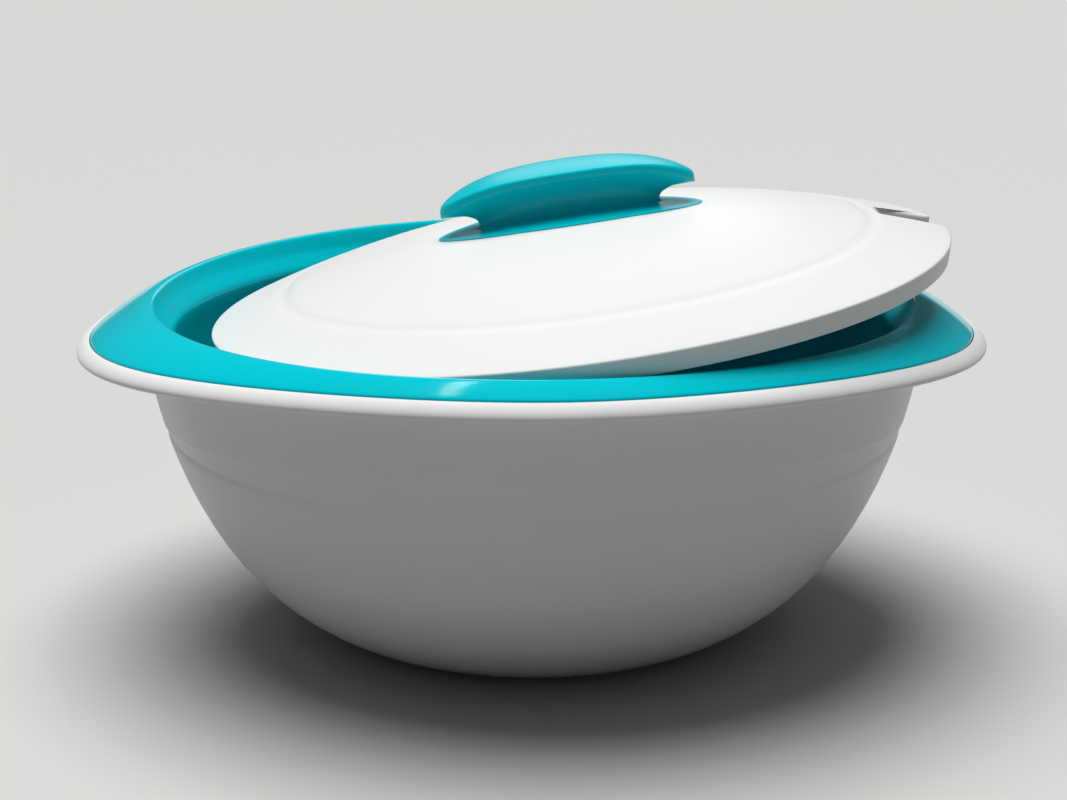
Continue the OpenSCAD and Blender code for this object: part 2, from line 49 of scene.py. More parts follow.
crest_radius, crest_height, crest_droop = 126.2, 114.8, 2.0
end_flange, side_flange, flange_fall, flange_crown = 19.3, 7.8, 4.0, 0.2
half_length, half_width = crest_radius + end_flange, crest_radius + side_flange
oval_power, rim_droop, droop_power = 1.9, 9.2, 3
roll_width, roll_depth, roll_round, roll_power = 4.5, 5.5, 1.4, 1.55
face_gap, face_step = 0.28, 0.42
body_radius, belly_height, body_depth = 128.5, 110.0, 115.5
side_curve, side_fullness = 1.637, 0.295
shell_wall, bowl_wall, gasket_room, fitting_gap = 2.0, 1.8, 0.9, 0.3
under_fillet = 2.2
base_radius, base_seat_radius, base_edge, base_height, fill_hole_radius = 60.6, 57.8, 0.5, 2.2, 30
low_line_height, high_line_height, high_line_droop = 71.0, 83.2, 8.4
line_depth, line_deepening = 0.2, 0.55


def oval(a, b, turn):
    """Radius at a bearing of the rim's oval with half axes a and b."""
    c, s = abs(math.cos(turn)) / a, abs(math.sin(turn)) / b
    return (c**oval_power + s**oval_power) ** (-1 / oval_power)


def saddle(turn):
    """How far along its droop the rim is at a bearing: 0 at the front, 1 at the ends."""
    rim = oval(half_length, half_width, turn)
    return (rim * abs(math.cos(turn)) / half_length) ** droop_power


def edge_at(turn):
    """Radius and height of the flange's outer edge."""
    height = crest_height - flange_fall - rim_droop * saddle(turn)
    return oval(half_length, half_width, turn), height


def flange_at(turn, way, depth=0.0):
    """A point on the flange's top, or under it, at a share of the way from crest to edge."""
    r, z = edge_at(turn)
    top = crest_height - crest_droop * math.cos(turn) ** 2
    crown = flange_crown * (r - crest_radius) * way * (1 - way)
    return crest_radius + (r - crest_radius) * way, top + (z - top) * way + crown - depth


def fullness_at(z, depth):
    """Share of its greatest radius that a round side has at a height."""
    return (1 - ((belly_height - z) / depth) ** side_curve) ** side_fullness


def body_side(z, radius=body_radius, depth=body_depth):
    """Radius of the body's round side at a height."""
    return radius * fullness_at(z, depth)


def rounded(outline, steps=4):
    """Rounds an outline's corners: a point is r, z and how far along its sides the round begins."""
    longest = 0.48  # share of a side that one round may use up
    points = []
    for i, (r, z, set_back) in enumerate(outline):
        here = Vector((r, z))
        if set_back == 0:
            points.append(here)
            continue
        to_last = Vector(outline[i - 1][:2]) - here
        to_next = Vector(outline[(i + 1) % len(outline)][:2]) - here
        start = here + to_last.normalized() * min(set_back, longest * to_last.length)
        end = here + to_next.normalized() * min(set_back, longest * to_next.length)
        for k in range(steps + 1):
            t = k / steps
            points.append(start * (1 - t) ** 2 + here * 2 * t * (1 - t) + end * t**2)
    return points


def around(outline_at, turns=TURNS):
    """Rings of points, one for each point of the outline that a bearing has."""
    bearings = [math.tau * i / turns for i in range(turns)]
    outlines = [rounded(outline_at(turn)) for turn in bearings]
    ways = [(math.cos(turn), math.sin(turn)) for turn in bearings]
    return [
        [Vector((o[k].x * c, o[k].x * s, o[k].y)) * MM for o, (c, s) in zip(outlines, ways)]
        for k in range(len(outlines[0]))
    ]


def place_key(place, decimals):
    """A place rounded so that the same place is found again."""
    return tuple(round(c, decimals) for c in place)


def take_new_ring(piece, last_ring, ring):
    """Moves the ring of points that was just extruded from last_ring to where ring says."""
    mesh = bmesh.from_edit_mesh(piece.data)
    places = {place_key(p, decimals=7): i for i, p in enumerate(last_ring)}
    for v in mesh.verts:
        if v.select:
            v.co = ring[places[place_key(v.co, decimals=7)]]
    bmesh.update_edit_mesh(piece.data)


def close_pole(piece, ring, centre):
    """Selects the open edge that lies on ring, extrudes it and draws it together at a point."""
    bpy.ops.mesh.select_all(action="DESELECT")
    mesh = bmesh.from_edit_mesh(piece.data)
    places = {place_key(p, decimals=6) for p in ring}
    for edge in mesh.edges:
        if edge.is_boundary and all(place_key(v.co, decimals=6) in places for v in edge.verts):
            edge.select_set(True)
    bmesh.update_edit_mesh(piece.data)
    bpy.ops.mesh.extrude_region_move()
    bpy.ops.mesh.merge(type="CENTER")
    mesh = bmesh.from_edit_mesh(piece.data)
    for v in mesh.verts:
        if v.select:
            v.co = centre
    bmesh.update_edit_mesh(piece.data)


def raise_wall(name, rings, poles=None, crease_angle=40):
    """Extrudes a circle of edges ring by ring, and closes it on itself or at its two poles."""
    bpy.ops.object.select_all(action="DESELECT")
    bpy.ops.mesh.primitive_circle_add(vertices=len(rings[0]), radius=1, location=(0, 0, 0))
    piece = bpy.context.object
    piece.name = piece.data.name = name
    for v, place in zip(piece.data.vertices, rings[0]):
        v.co = place
    bpy.ops.object.mode_set(mode="EDIT")
    bpy.ops.mesh.select_mode(type="EDGE")
    bpy.ops.mesh.select_all(action="SELECT")
    last = rings[0]
    for ring in rings[1:] if poles else rings[1:] + rings[:1]:
        bpy.ops.mesh.extrude_region_move()
        take_new_ring(piece, last, ring)
        last = ring
    if poles:
        close_pole(piece, rings[0], poles[0])
        close_pole(piece, rings[-1], poles[1])
    bpy.ops.mesh.select_all(action="SELECT")
    bpy.ops.mesh.remove_doubles(threshold=2e-6)
    bpy.ops.mesh.normals_make_consistent(inside=False)
    bpy.ops.object.mode_set(mode="OBJECT")
    bpy.ops.object.shade_smooth_by_angle(angle=math.radians(crease_angle))
    return piece


def shell_outline(turn):
    """The body's section at a bearing: up the outside, over the rolled edge and down the inside."""
    edge_r, edge_z = edge_at(turn)
    rim_r = oval(half_length + roll_width, half_width + roll_width, turn)
    under_r = body_radius + under_fillet
    under_way = (under_r - crest_radius) / (edge_r - crest_radius)
    under_z = flange_at(turn, under_way, bowl_wall + gasket_room + shell_wall)[1]
    roll_low, face_r, face_z = edge_z - roll_depth, edge_r + face_gap, edge_z - face_step
    low_line = low_line_height
    high_line = high_line_height - high_line_droop * saddle(turn) ** 0.85
    step = line_depth + line_deepening * saddle(turn)

    # Heights up the side, each with how far in the side is set between the two witness lines:
    # the low line is a soft step, the high one a crisp step
    side = [(z, 0.0) for z in (2.2, 3.4, 5, 7, 9.5, 12.5, 16, 20, 25, 30, 36, 42, 49, 56, 63, 67)]
    side += [(low_line - 1.3, 0.0), (low_line - 0.7, 0.03), (low_line, step * 0.3)]
    side += [(low_line + 0.9, step * 0.85), (low_line + 1.5, step)]
    side += [
        (low_line + (high_line - low_line) * k / 6, step * (1 - 0.7 * k / 6)) for k in range(2, 6)
    ]
    side += [(high_line - 0.15, step * 0.3), (high_line + 0.15, 0.0), (high_line + 0.5, 0.0)]
    side_top = under_z - 3
    side += [(high_line + (side_top - high_line) * k / 6, 0.0) for k in range(1, 7)]

    outline = [(base_seat_radius, base_height, 0), (base_seat_radius, base_edge, 0.2)]
    outline += [(base_radius, base_edge, 0.5)]
    outline += [(body_side(z) - inset, z, 0) for z, inset in side]
    outline += [(body_side(under_z), under_z, under_fillet)]
    for k in (0.3, 0.65):
        r = under_r + (edge_r - under_r) * k
        hollow = (edge_r - under_r) * 0.045
        outline.append((r, under_z + (roll_low - under_z) * k + hollow, 0))
    outline.append((edge_r + 0.6, roll_low, 1.0))

    # The roll: a round lower corner, then the sloping face that meets the flange's edge
    for t in (math.radians(d) for d in (-90, -72, -54, -36, -18)):
        r = rim_r - roll_round + roll_round * math.cos(t)
        outline.append((r, roll_low + roll_round + roll_round * math.sin(t), 0))
    for t in (math.radians(d) for d in (0, 10, 20, 30, 40, 50, 60, 68, 75, 81, 86)):
        r = face_r + (rim_r - face_r) * math.cos(t) ** (2 / roll_power)
        rise = (face_z - roll_low - roll_round) * math.sin(t) ** (2 / roll_power)
        outline.append((r, roll_low + roll_round + rise, 0))
    outline += [(face_r, face_z, 0.15), (face_r, edge_z - bowl_wall - gasket_room, 0)]

    outline += [(*flange_at(turn, way, bowl_wall + gasket_room), 0) for way in (0.8, 0.55, 0.3)]
    inner_r = body_radius - shell_wall + fitting_gap
    inner_way = (inner_r - crest_radius) / (edge_r - crest_radius)
    outline.append((inner_r, flange_at(turn, inner_way, bowl_wall + gasket_room)[1], 0))
    inside = body_radius - shell_wall, body_depth - shell_wall
    floor_z = base_height + shell_wall
    outline += [(body_side(z, *inside), z, 0) for z in (90, 70, 50, 33, 20, 10, floor_z)]
    outline += [(fill_hole_radius, floor_z, 0), (fill_hole_radius, base_height, 0)]
    return outline


def linear(code):
    """An sRGB hex colour as the linear values that a shader takes."""
    parts = [int(code[i : i + 2], 16) / 255 for i in (1, 3, 5)]
    return [c / 12.92 if c <= 0.04045 else ((c + 0.055) / 1.055) ** 2.4 for c in parts] + [1]


def add_node(tree, kind, inputs, **settings):
    """Adds a node. Each input takes a value, or the socket that it is linked to."""
    new = tree.nodes.new(kind)
    for key, value in settings.items():
        setattr(new, key, value)
    for key, value in inputs.items():
        if isinstance(value, bpy.types.NodeSocket):
            tree.links.new(value, new.inputs[key])
        else:
            new.inputs[key].default_value = value
    return new


# Sockets of the Mix node when it mixes colours
MIX_SHARE, MIX_FIRST, MIX_SECOND, MIXED = 0, 6, 7, 2


def moulded_plastic(
    name, light, dark, roughness, grain_mm, grain_depth_mm, flow_mm=45.0, gloss=0.5
):
    """Injection-moulded plastic: faint flow clouds in the colour, and the grain of the steel mould.

    The grain of a real mould is a few hundredths of a millimetre wide. It is drawn coarser, so that
    it still breaks up the highlights at this distance.
    """
    material = bpy.data.materials.new(name)
    material.use_nodes = True
    tree = material.node_tree
    tree.nodes.clear()
    place = add_node(tree, "ShaderNodeTexCoord", {}).outputs["Object"]
    flow = add_node(
        tree,
        "ShaderNodeTexNoise",
        {"Vector": place, "Scale": 1 / (flow_mm * MM), "Detail": 3.0, "Roughness": 0.45},
    )
    colour = add_node(
        tree,
        "ShaderNodeMix",
        {MIX_SHARE: flow.outputs["Fac"], MIX_FIRST: linear(light), MIX_SECOND: linear(dark)},
        data_type="RGBA",
    )
    grain = add_node(
        tree,
        "ShaderNodeTexNoise",
        {"Vector": place, "Scale": 1 / (grain_mm * MM), "Detail": 2.0, "Roughness": 0.5},
    )
    # The clouds' values lie mostly between 0.3 and 0.7, and make the gloss a little uneven
    sheen = add_node(
        tree,
        "ShaderNodeMapRange",
        {
            "Value": flow.outputs["Fac"],
            "From Min": 0.3,
            "From Max": 0.7,
            "To Min": roughness - 0.03,
            "To Max": roughness + 0.03,
        },
    )
    bump = add_node(
        tree,
        "ShaderNodeBump",
        {"Height": grain.outputs["Fac"], "Distance": grain_depth_mm * MM, "Strength": 1.0},
    )
    shader = add_node(
        tree,
        "ShaderNodeBsdfPrincipled",
        {
            "Base Color": colour.outputs[MIXED],
            "Roughness": sheen.outputs["Result"],
            "IOR": 1.49,
            "Specular IOR Level": gloss,
            "Normal": bump.outputs["Normal"],
        },
    )
    add_node(tree, "ShaderNodeOutputMaterial", {"Surface": shader.outputs["BSDF"]})
    return material


# Polypropylene off a fine-textured mould: a soft, even white with a broad, quiet highlight.
satin_white = moulded_plastic(
    "moulded_white_polypropylene",
    "#EDEDEB",
    "#E8E9E7",
    roughness=0.36,
    grain_mm=0.9,
    grain_depth_mm=0.006,
    gloss=0.12,
)

outer_body = raise_wall("outer_body", around(shell_outline))
outer_body.data.materials.append(satin_white)
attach(outer_body, "bowl")
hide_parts("outer_shell")


# Inner bowl. One turquoise moulding that holds the food: a cavity with a flat floor, the sloping
# seat and the recess in which the lid sits, a rounded crest, and the broad crowned flange that
# covers the joint with the outer body. It is polished, so the flange shows the lamps as glints.

seat_radius, seat_height, cavity_radius, cavity_top = 122.2, 108.3, 117.7, 102.0
floor_height, cavity_depth = 12.0, 100.9


def cavity_side(z, wall=0.0):
    """Radius of the cavity's side at a height, or of the outside of its wall."""
    depth = cavity_depth + wall
    return (cavity_radius + wall) * fullness_at(z, depth) / fullness_at(cavity_top, depth)


def bowl_outline(turn):
    """The inner bowl's section at a bearing: from the floor out to the flange and back under it."""
    edge_r, edge_z = edge_at(turn)
    crest_z = flange_at(turn, 0)[1]
    # Floor and side of the cavity, recess, seat and crest
    floor_edge = cavity_side(floor_height + 0.6)
    outline = [(14, floor_height, 0), (36, floor_height, 0), (floor_edge, floor_height, 7)]
    heights = (14.5, 17, 20, 24, 29, 35, 42, 50, 59, 68, 77, 86, 95, 100.5)
    outline += [(cavity_side(z), z, 0) for z in heights]
    outline += [(cavity_radius, cavity_top + 1.3, 2.2), (seat_radius, seat_height, 1.6)]
    outline += [(crest_radius - 2.3, crest_z - 1.9, 1.0), (crest_radius - 1.4, crest_z - 0.1, 1.2)]
    # The flange, its edge, and back under it to the outside of the cavity
    outline += [(*flange_at(turn, way), 0) for way in (0.06, 0.16, 0.3, 0.45, 0.6, 0.75, 0.87)]
    outline += [(edge_r - 0.1, edge_z + 0.05, 0.55), (edge_r, edge_z - bowl_wall, 0.3)]
    outline += [(*flange_at(turn, way, bowl_wall), 0) for way in (0.8, 0.55, 0.3)]
    outline += [
        (crest_radius + 0.9, crest_z - bowl_wall, 0.6),
        (crest_radius - 0.3, crest_z - bowl_wall - 2.2, 0),
        (seat_radius + 2.4, seat_height + 1.2, 0),
        (seat_radius + 1.3, seat_height - 1.5, 0.5),
        (cavity_radius + 2.8, cavity_top + 1.0, 0.5),
    ]
    outline += [(cavity_side(z, bowl_wall), z, 0) for z in (80.4, 58.8, 39, 24.6, 16.5)]
    outline += [(cavity_side(floor_height, bowl_wall), floor_height - 0.9, 0)]
    outline += [(40, floor_height - bowl_wall, 0)]
    return outline


# Polished polypropylene, coloured through: saturated, with a sharp reflection over the colour.
polished_turquoise = moulded_plastic(
    "polished_turquoise_polypropylene",
    "#00CAD8",
    "#00C3D2",
    roughness=0.1,
    grain_mm=2.6,
    grain_depth_mm=0.002,
    gloss=0.16,
)

inner_bowl = raise_wall(
    "turquoise_inner_bowl",
    around(bowl_outline),
    poles=(Vector((0, 0, floor_height * MM)), Vector((0, 0, (floor_height - bowl_wall) * MM))),
)
inner_bowl.data.materials.append(polished_turquoise)
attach(inner_bowl, "bowl")
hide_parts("inner_bowl")


# Foot ring, base cap, rim gasket and foam. The soft ring is pressed under the body and grips the
# table. The cap snaps into the hole through which the foam was poured. Only the ring and the cap
# show, from below. Their solids are exact enough to be shown as they are.

# Thermoplastic elastomer: matte and slightly open-grained, so light spreads on it.
soft_elastomer = moulded_plastic(
    "soft_grey_elastomer",
    "#BDBFBE",
    "#B3B5B4",
    roughness=0.72,
    grain_mm=0.5,
    grain_depth_mm=0.03,
    flow_mm=12.0,
)
# The cap comes off a spark-eroded mould, which leaves a coarse matte grain.
grained_white = moulded_plastic(
    "spark_grained_white_polypropylene",
    "#EDEDEB",
    "#E4E5E3",
    roughness=0.55,
    grain_mm=0.7,
    grain_depth_mm=0.03,
)
# Polyurethane foam: cream, with open cells of about a millimetre.
foam = moulded_plastic(
    "poured_polyurethane_foam",
    "#E7DDB4",
    "#D3C48F",
    roughness=0.9,
    grain_mm=1.1,
    grain_depth_mm=0.4,
    flow_mm=8.0,
    gloss=0.3,
)

for name, finish in (
    ("foot_ring", soft_elastomer),
    ("rim_gasket", soft_elastomer),
    ("base_cap", grained_white),
    ("bowl_insulation", foam),
):
    nodes[name].data.materials.clear()
    nodes[name].data.materials.append(finish)


# Lid cover. A white domed disc with a drafted edge wall, a shallow ring groove, and a notch in its
# edge through which a serving spoon stands out. It is moulded like the body, in the same plastic,
# and lies loose on the bowl, shifted and tilted with its notched side up.

lid_radius, dome_rise, cover_wall, edge_round = 122.0, 21.0, 2.2, 0.5
skirt_height, skirt_draft, skirt_foot_round = 6.5, 1.3, 0.7
groove_start, groove_bottom, groove_end, groove_depth = 93.8, 97.4, 101.6, 0.42
notch_half, notch_reach, notch_corner, notch_mouth = 8.5, 102.0, 4.5, 2.0
notch_blend, notch_extra_round = 3, 1.0
lid_tilt, lid_turn, lid_spin = math.radians(7.7), math.radians(-4.4), math.radians(5)
lid_shift, lid_lift = 14.8, 3.5
lid_place = (
    Matrix.Rotation(lid_turn, 4, "Z")
    @ Matrix.Translation((lid_shift, 0, crest_height + lid_lift))
    @ Matrix.Rotation(-lid_tilt, 4, "Y")
    @ Matrix.Rotation(lid_spin, 4, "Z")
)


def on_lid(point):
    """A point drawn about the centre of the lid's edge plane, where the lid lies, in metres."""
    return (lid_place @ Vector(point)) * MM


def dome_at(x, y):
    """Height of the dome over the edge plane."""
    ball = (lid_radius**2 + dome_rise**2) / (2 * dome_rise)
    return math.sqrt(ball**2 - x * x - y * y) - ball + dome_rise


def arc_points(cx, cy, radius, start, end, count):
    """Points of an arc, without its last one."""
    turns = [math.radians(start + (end - start) * k / count) for k in range(count)]
    return [(cx + radius * math.cos(t), cy + radius * math.sin(t)) for t in turns]


def line_points(x0, y0, x1, y1, count):
    """Points of a line, without its last one."""
    return [(x0 + (x1 - x0) * k / count, y0 + (y1 - y0) * k / count) for k in range(count)]


def notched_outline():
    """The lid's plan, notch along +X, and for each point the bearing of its column on the dome."""
    across = notch_half + notch_mouth
    along = math.sqrt((lid_radius - notch_mouth) ** 2 - across**2)
    lean = math.degrees(math.atan2(across, along))
    corner_x, corner_y = notch_reach + notch_corner, notch_half - notch_corner
    side = line_points(notch_reach, 0, notch_reach, corner_y, 6)
    side += arc_points(corner_x, corner_y, notch_corner, 180, 90, 8)
    side += line_points(corner_x, notch_half, along, notch_half, 6)
    side += arc_points(along, across, notch_mouth, -90, lean, 10)
    bearings = [math.radians(lean) * k / len(side) for k in range(len(side))]
    side += arc_points(0, 0, lid_radius, lean, 180, 120)
    bearings += [math.atan2(y, x) for x, y in side[len(bearings) :]]
    plan = side + [(-lid_radius, 0)] + [(x, -y) for x, y in reversed(side[1:])]
    return plan, bearings + [math.pi] + [-b for b in reversed(bearings[1:])]


def inward(points):
    """Directions that point into the plan from each point of its edge."""
    count = len(points)
    out = []
    for i in range(count):
        (x0, y0), (x1, y1) = points[i - 1], points[(i + 1) % count]
        out.append(Vector((y0 - y1, x1 - x0, 0)).normalized())
    return out


def lid_rings():
    """Rings over the dome, down the edge wall and back under the cover."""
    plan, bearings = notched_outline()
    normal = inward(plan)
    # 0 on the lid's round edge, 1 inside the notch
    in_notch = [
        max(0.0, min(1.0, (lid_radius - math.hypot(x, y)) / notch_blend)) for x, y in plan
    ]

    def inset_point(i, inset):
        """The plan's point i moved inwards. Past a mouth corner's radius, points stay there."""
        x, y = plan[i]
        p = Vector((x, y, 0)) + normal[i] * inset
        if inset > notch_mouth:
            if p.x > notch_reach:
                p.y = math.copysign(max(abs(p.y), notch_half + inset), y)
            if p.length > lid_radius - inset + 0.001:
                p.x = math.copysign(math.sqrt((lid_radius - inset) ** 2 - p.y**2), p.x)
        return p

    def ring(inset, height):
        """A ring inset from the plan's edge. Both take how far a point lies in the notch."""
        spots = [inset_point(i, inset(in_notch[i])) for i in range(len(plan))]
        return [on_lid((p.x, p.y, height(p, notch))) for p, notch in zip(spots, in_notch)]

    def groove(r):
        """Depth of the ring groove: a soft fall, then a gentler rise."""
        if r < groove_bottom:
            t = (r - groove_start) / (groove_bottom - groove_start)
        else:
            t = (groove_end - r) / (groove_end - groove_bottom)
        t = max(0.0, min(1.0, t))
        return groove_depth * t * t * (3 - 2 * t)

    def disc(radius, edge_inset=1.8, drop=0.0):
        """A ring on the dome: round near the middle, bent round the notch towards the edge."""
        inner = 90.0
        way = max(0.0, (radius - inner) / (lid_radius - edge_inset - inner))
        points = []
        for i, b in enumerate(bearings):
            p = Vector((math.cos(b), math.sin(b), 0)) * min(radius, inner)
            p = p.lerp(inset_point(i, edge_inset), way)
            points.append(on_lid((p.x, p.y, dome_at(p.x, p.y) - groove(p.length) - drop)))
        return points

    rings = [disc(r) for r in (12, 26, 40, 54, 66, 76, 84, 90, 92)]
    rings += [disc(groove_start + 0.45 * k) for k in range(9)]
    rings += [disc(r) for r in (98, 98.7, 99.5, 100.3, 101, 101.7, 104, 108, 112, 116, 119)]

    # The lid's edge is a little rounded, and the notch's edge more
    def edge_radius(notch):
        return edge_round + notch_extra_round * notch

    for t in (math.radians(d) for d in (90, 72, 54, 36, 18, 0)):
        rings.append(
            ring(
                lambda notch: edge_radius(notch) * (1 - math.cos(t)),
                lambda p, notch: dome_at(p.x, p.y) - edge_radius(notch) * (1 - math.sin(t)),
            )
        )

    # The edge wall is drafted and has a rounded foot. The notch's wall stands upright.
    rings.append(
        ring(
            lambda notch: skirt_draft * 0.5 * (1 - notch),
            lambda p, notch: -skirt_height * 0.5,
        )
    )
    for t in (math.radians(d) for d in (0, 30, 60, 90)):
        rings.append(
            ring(
                lambda notch: skirt_draft * (1 - notch) + skirt_foot_round * (1 - math.cos(t)),
                lambda p, notch: -skirt_height + skirt_foot_round - skirt_foot_round * math.sin(t),
            )
        )

    # Back up inside the wall and under the dome
    wall_inset = skirt_draft + cover_wall
    under_inset = wall_inset + 1.5
    rings.append(ring(lambda notch: wall_inset, lambda p, notch: -skirt_height + 0.3))
    rings.append(ring(lambda notch: wall_inset + 0.2, lambda p, notch: -1.0))
    under_radii = (lid_radius - wall_inset - 1.5, 110, 98, 90, 60, 30)
    rings += [disc(r, under_inset, cover_wall) for r in under_radii]
    return rings


# The same satin white as the body.
lid_cover = raise_wall(
    "lid_cover_dome",
    lid_rings(),
    poles=(on_lid((0, 0, dome_rise)), on_lid((0, 0, dome_rise - cover_wall))),
)
lid_cover.data.materials.append(satin_white)
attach(lid_cover, "lid")
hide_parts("lid_cover")


# Lid liner, foam and screws. The liner is the shallow plug that faces the food. It snaps into the
# cover and traps the foam. Two zinc-plated screws under it hold the handle.

# Zinc-plated steel: bright grey, with fine uneven streaks from tumbling that break its reflections.
zinc_steel = bpy.data.materials.new("zinc_plated_steel")
zinc_steel.use_nodes = True
zinc_tree = zinc_steel.node_tree
zinc_tree.nodes.clear()
zinc_place = add_node(zinc_tree, "ShaderNodeTexCoord", {}).outputs["Object"]
zinc_streak_mm = 0.4
zinc_streaks = add_node(
    zinc_tree,
    "ShaderNodeTexNoise",
    {"Vector": zinc_place, "Scale": 1 / (zinc_streak_mm * MM), "Detail": 4.0},
)
zinc_tone = add_node(
    zinc_tree,
    "ShaderNodeMix",
    {
        MIX_SHARE: zinc_streaks.outputs["Fac"],
        MIX_FIRST: linear("#C3C6C9"),
        MIX_SECOND: linear("#A5A9AD"),
    },
    data_type="RGBA",
)
zinc_shader = add_node(
    zinc_tree,
    "ShaderNodeBsdfPrincipled",
    {"Base Color": zinc_tone.outputs[MIXED], "Metallic": 1.0, "Roughness": 0.34},
)
add_node(zinc_tree, "ShaderNodeOutputMaterial", {"Surface": zinc_shader.outputs["BSDF"]})

for name, finish in (
    ("lid_liner", grained_white),
    ("lid_insulation", foam),
    ("handle_screws", zinc_steel),
):
    nodes[name].data.materials.clear()
    nodes[name].data.materials.append(finish)


# Handle neck. A waisted pedestal that stands on the dome on a thin lens-shaped foot and flares out
# again under the grip. Moulded in the bowl's turquoise, left satin, and screwed on from inside.

HANDLE_TURNS = 160
foot_length, foot_breadth, foot_power = 87.7, 41.6, 1.8
foot_seat, foot_edge, neck_gap = 0.05, 0.1, 0.01
grip_length, grip_width, grip_power = 84.5, 31.5, 1.94
grip_under, grip_thick, grip_drop, grip_crown = 34.4, 3.9, 9.3, 1.5


def lens(turn, length, breadth, power):
    """A point of a lens-shaped plan."""
    c, s = math.cos(turn), math.sin(turn)
    r = (abs(c) ** power + abs(s) ** power) ** (-1 / power)
    return r * c * length / 2, r * s * breadth / 2


def lens_ring(length, breadth, power, height):
    """A ring with a lens-shaped plan, at a height that follows its points."""
    turns = [math.tau * j / HANDLE_TURNS for j in range(HANDLE_TURNS)]
    spots = [lens(turn, length, breadth, power) for turn in turns]
    return [on_lid((x, y, height(x, y))) for x, y in spots]


def arch_at(x):
    """Height of the grip's underside."""
    u = 2 * x / grip_length
    return grip_under - grip_drop * (0.38 * u**2 + 0.62 * u**4)


def blend_rows(rows, steps):
    """Smooth rows between the given ones, by a spline through them."""
    out = []
    for i, (start, end) in enumerate(zip(rows, rows[1:])):
        before, after = rows[max(i - 1, 0)], rows[min(i + 2, len(rows) - 1)]
        for k in range(steps):
            t = k / steps
            out.append([
                0.5 * (
                    2 * b
                    + (c - a) * t
                    + (2 * a - 5 * b + 4 * c - d) * t**2
                    + (3 * b - a - 3 * c + d) * t**3
                )
                for a, b, c, d in zip(before, start, end, after)
            ])
    return out + [list(rows[-1])]


def neck_rings():
    """Rings from under the foot, up the waist and across the neck's top."""
    # Share of the height, of the foot's length and breadth, and the plan's power
    rows = [
        (0.0, 1.0, 1.0, 1.8),
        (0.022, 0.997, 0.99, 1.8),
        (0.034, 0.94, 0.87, 1.8),
        (0.06, 0.83, 0.67, 1.8),
        (0.1, 0.745, 0.54, 1.82),
        (0.16, 0.702, 0.455, 1.86),
        (0.26, 0.688, 0.412, 1.92),
        (0.4, 0.686, 0.396, 1.96),
        (0.55, 0.694, 0.403, 2.0),
        (0.68, 0.71, 0.43, 2.0),
        (0.79, 0.735, 0.475, 2.0),
        (0.88, 0.762, 0.53, 2.0),
        (0.94, 0.79, 0.59, 1.99),
        (0.975, 0.85, 0.66, 1.97),
        (0.992, 0.92, 0.715, 1.95),
        (1.0, 0.955, 0.745, 1.94),
    ]
    top_length, top_breadth = foot_length * rows[-1][1], foot_breadth * rows[-1][2]
    top_power = rows[-1][3]

    rings = [
        lens_ring(
            foot_length * share,
            foot_breadth * share,
            foot_power,
            lambda x, y: dome_at(x, y) + foot_seat,
        )
        for share in (0.4, 0.75, 0.93)
    ]
    for height, length, breadth, power in blend_rows(rows, 3):
        ring = []
        for j in range(HANDLE_TURNS):
            turn = math.tau * j / HANDLE_TURNS
            x, y = lens(turn, foot_length * length, foot_breadth * breadth, power)
            low = dome_at(x, y) + foot_edge
            high = arch_at(lens(turn, top_length, top_breadth, top_power)[0]) - neck_gap
            ring.append(on_lid((x, y, low + (high - low) * height)))
        rings.append(ring)
    rings += [
        lens_ring(
            top_length * share,
            top_breadth * share,
            top_power,
            lambda x, y: arch_at(x) - neck_gap,
        )
        for share in (0.7, 0.35)
    ]
    return rings


# Satin turquoise: the same plastic off an unpolished mould, so the top glows with a wide highlight.
satin_turquoise = moulded_plastic(
    "satin_turquoise_polypropylene",
    "#00CAD7",
    "#00C2D0",
    roughness=0.3,
    grain_mm=1.4,
    grain_depth_mm=0.004,
    gloss=0.16,
)

handle_neck = raise_wall(
    "waisted_handle_neck",
    neck_rings(),
    poles=(on_lid((0, 0, dome_rise + foot_seat)), on_lid((0, 0, grip_under - neck_gap))),
    crease_angle=55,
)
handle_neck.data.materials.append(satin_turquoise)
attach(handle_neck, "lid")
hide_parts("handle_neck")


# Handle grip. The arched cap that the fingers hook under, lens-shaped from above, with an upright
# edge band and a gently crowned top. A turquoise moulding that presses onto the neck.


def grip_top_at(x, y):
    """Height of the grip's crowned top."""
    u = 2 * x / grip_length
    fall = grip_drop * (0.48 * u**2 + 0.52 * u**4)
    return grip_under + grip_thick - fall - grip_crown * (2 * y / grip_width) ** 2


def grip_rings():
    """Rings across the grip's underside, up its edge band and over its top."""

    def ring(share, height):
        return lens_ring(grip_length * share, grip_width * share, grip_power, height)

    def band(share, up):
        return ring(share, lambda x, y: arch_at(x) + (grip_top_at(x, y) - arch_at(x)) * up)

    rings = [ring(share, lambda x, y: arch_at(x)) for share in (0.3, 0.6, 0.85, 0.955)]
    # Share of the plan and of the way up, with a small round below and a larger one above
    rings += [band(share, up) for share, up in ((0.99, 0.004), (0.997, 0.025), (1.0, 0.07))]
    rings += [band(1.0, up) for up in (0.35, 0.62)]
    rings += [band(share, up) for share, up in ((0.997, 0.78), (0.988, 0.91), (0.973, 0.98))]
    rings += [ring(share, grip_top_at) for share in (0.955, 0.92, 0.85, 0.75, 0.6, 0.42, 0.22)]
    return rings


handle_grip = raise_wall(
    "arched_handle_grip",
    grip_rings(),
    poles=(on_lid((0, 0, grip_under)), on_lid((0, 0, grip_under + grip_thick))),
    crease_angle=55,
)
handle_grip.data.materials.append(satin_turquoise)
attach(handle_grip, "lid")
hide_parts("handle_grip")


# Floor. A plain pale studio table, wide enough to fill the view behind the bowl. It looks paler
# than the light that it throws back, so that the lower side of the body keeps its shade.

